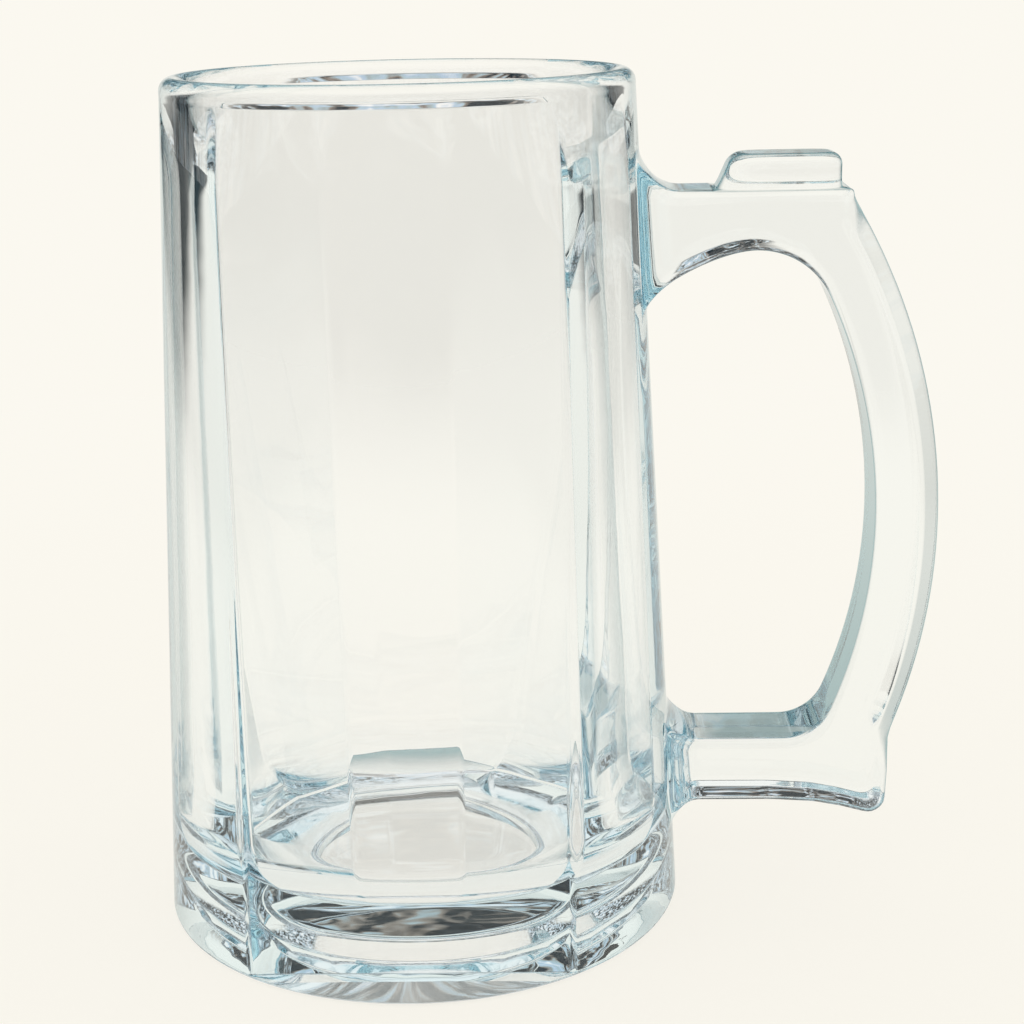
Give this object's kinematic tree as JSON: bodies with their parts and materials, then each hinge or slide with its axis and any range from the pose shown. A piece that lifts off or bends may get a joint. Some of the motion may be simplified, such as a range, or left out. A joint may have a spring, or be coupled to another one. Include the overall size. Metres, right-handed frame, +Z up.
{
  "type": "beer mug",
  "caption": "Heavy clear glass beer mug: tapering wall with a flat cut front and back, a bowl that follows the outside, round lip, thick base and a bowed side handle with a thumb rest.",
  "frame": {"origin": "centre of the round foot on the bowl's axis, on the table plane", "axes": "+Z up along the bowl's axis, +X towards the handle, -Y towards the flat cut that faces the viewer"},
  "size_m": [0.1407, 0.0946, 0.15],
  "materials": {
    "clear_glass": "polished clear soda-lime glass"
  },
  "bodies": {
    "root": {"heavy_base": "clear_glass", "body_wall": "clear_glass", "rim_lip": "clear_glass", "upper_arm": "clear_glass", "thumb_rest": "clear_glass", "grip": "clear_glass", "lower_arm": "clear_glass"}
  },
  "joints": []
}
